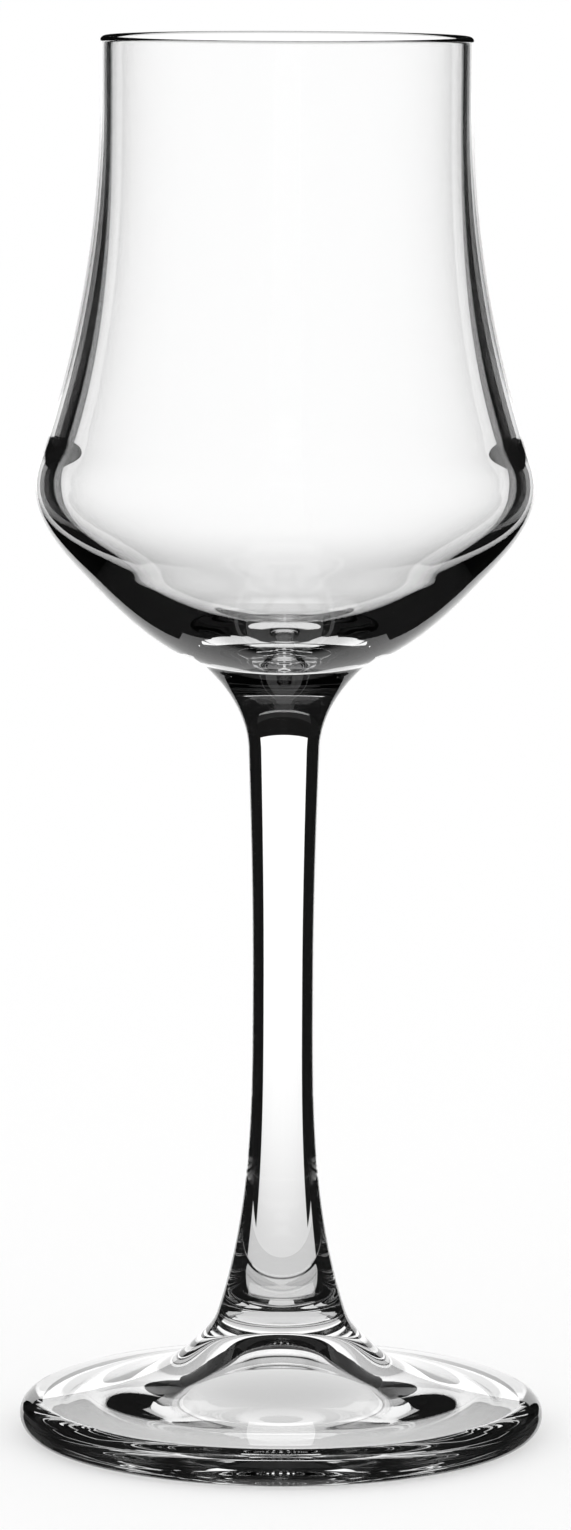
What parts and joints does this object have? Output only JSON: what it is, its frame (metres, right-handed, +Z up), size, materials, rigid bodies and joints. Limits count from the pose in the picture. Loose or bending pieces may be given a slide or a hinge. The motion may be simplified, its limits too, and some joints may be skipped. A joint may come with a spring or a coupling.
{
  "type": "sherry glass",
  "caption": "Stemmed clear glass for sherry: tapered bowl with a low rounded belly, slim solid stem and a round trumpet foot hollowed underneath.",
  "frame": {"origin": "centre of the foot's rest ring, on the surface that the glass stands on", "axes": "+Z up along the axis of the glass, from the foot to the lip; X and Y are any two level directions, because the glass is round"},
  "size_m": [0.0602, 0.0602, 0.16],
  "materials": {
    "bowl_glass": "clear, fire polished",
    "stem_glass": "clear, fire polished",
    "foot_glass": "clear, pressed and fire polished"
  },
  "bodies": {
    "root": {"bowl": "bowl_glass", "stem": "stem_glass", "foot": "foot_glass"}
  },
  "joints": []
}
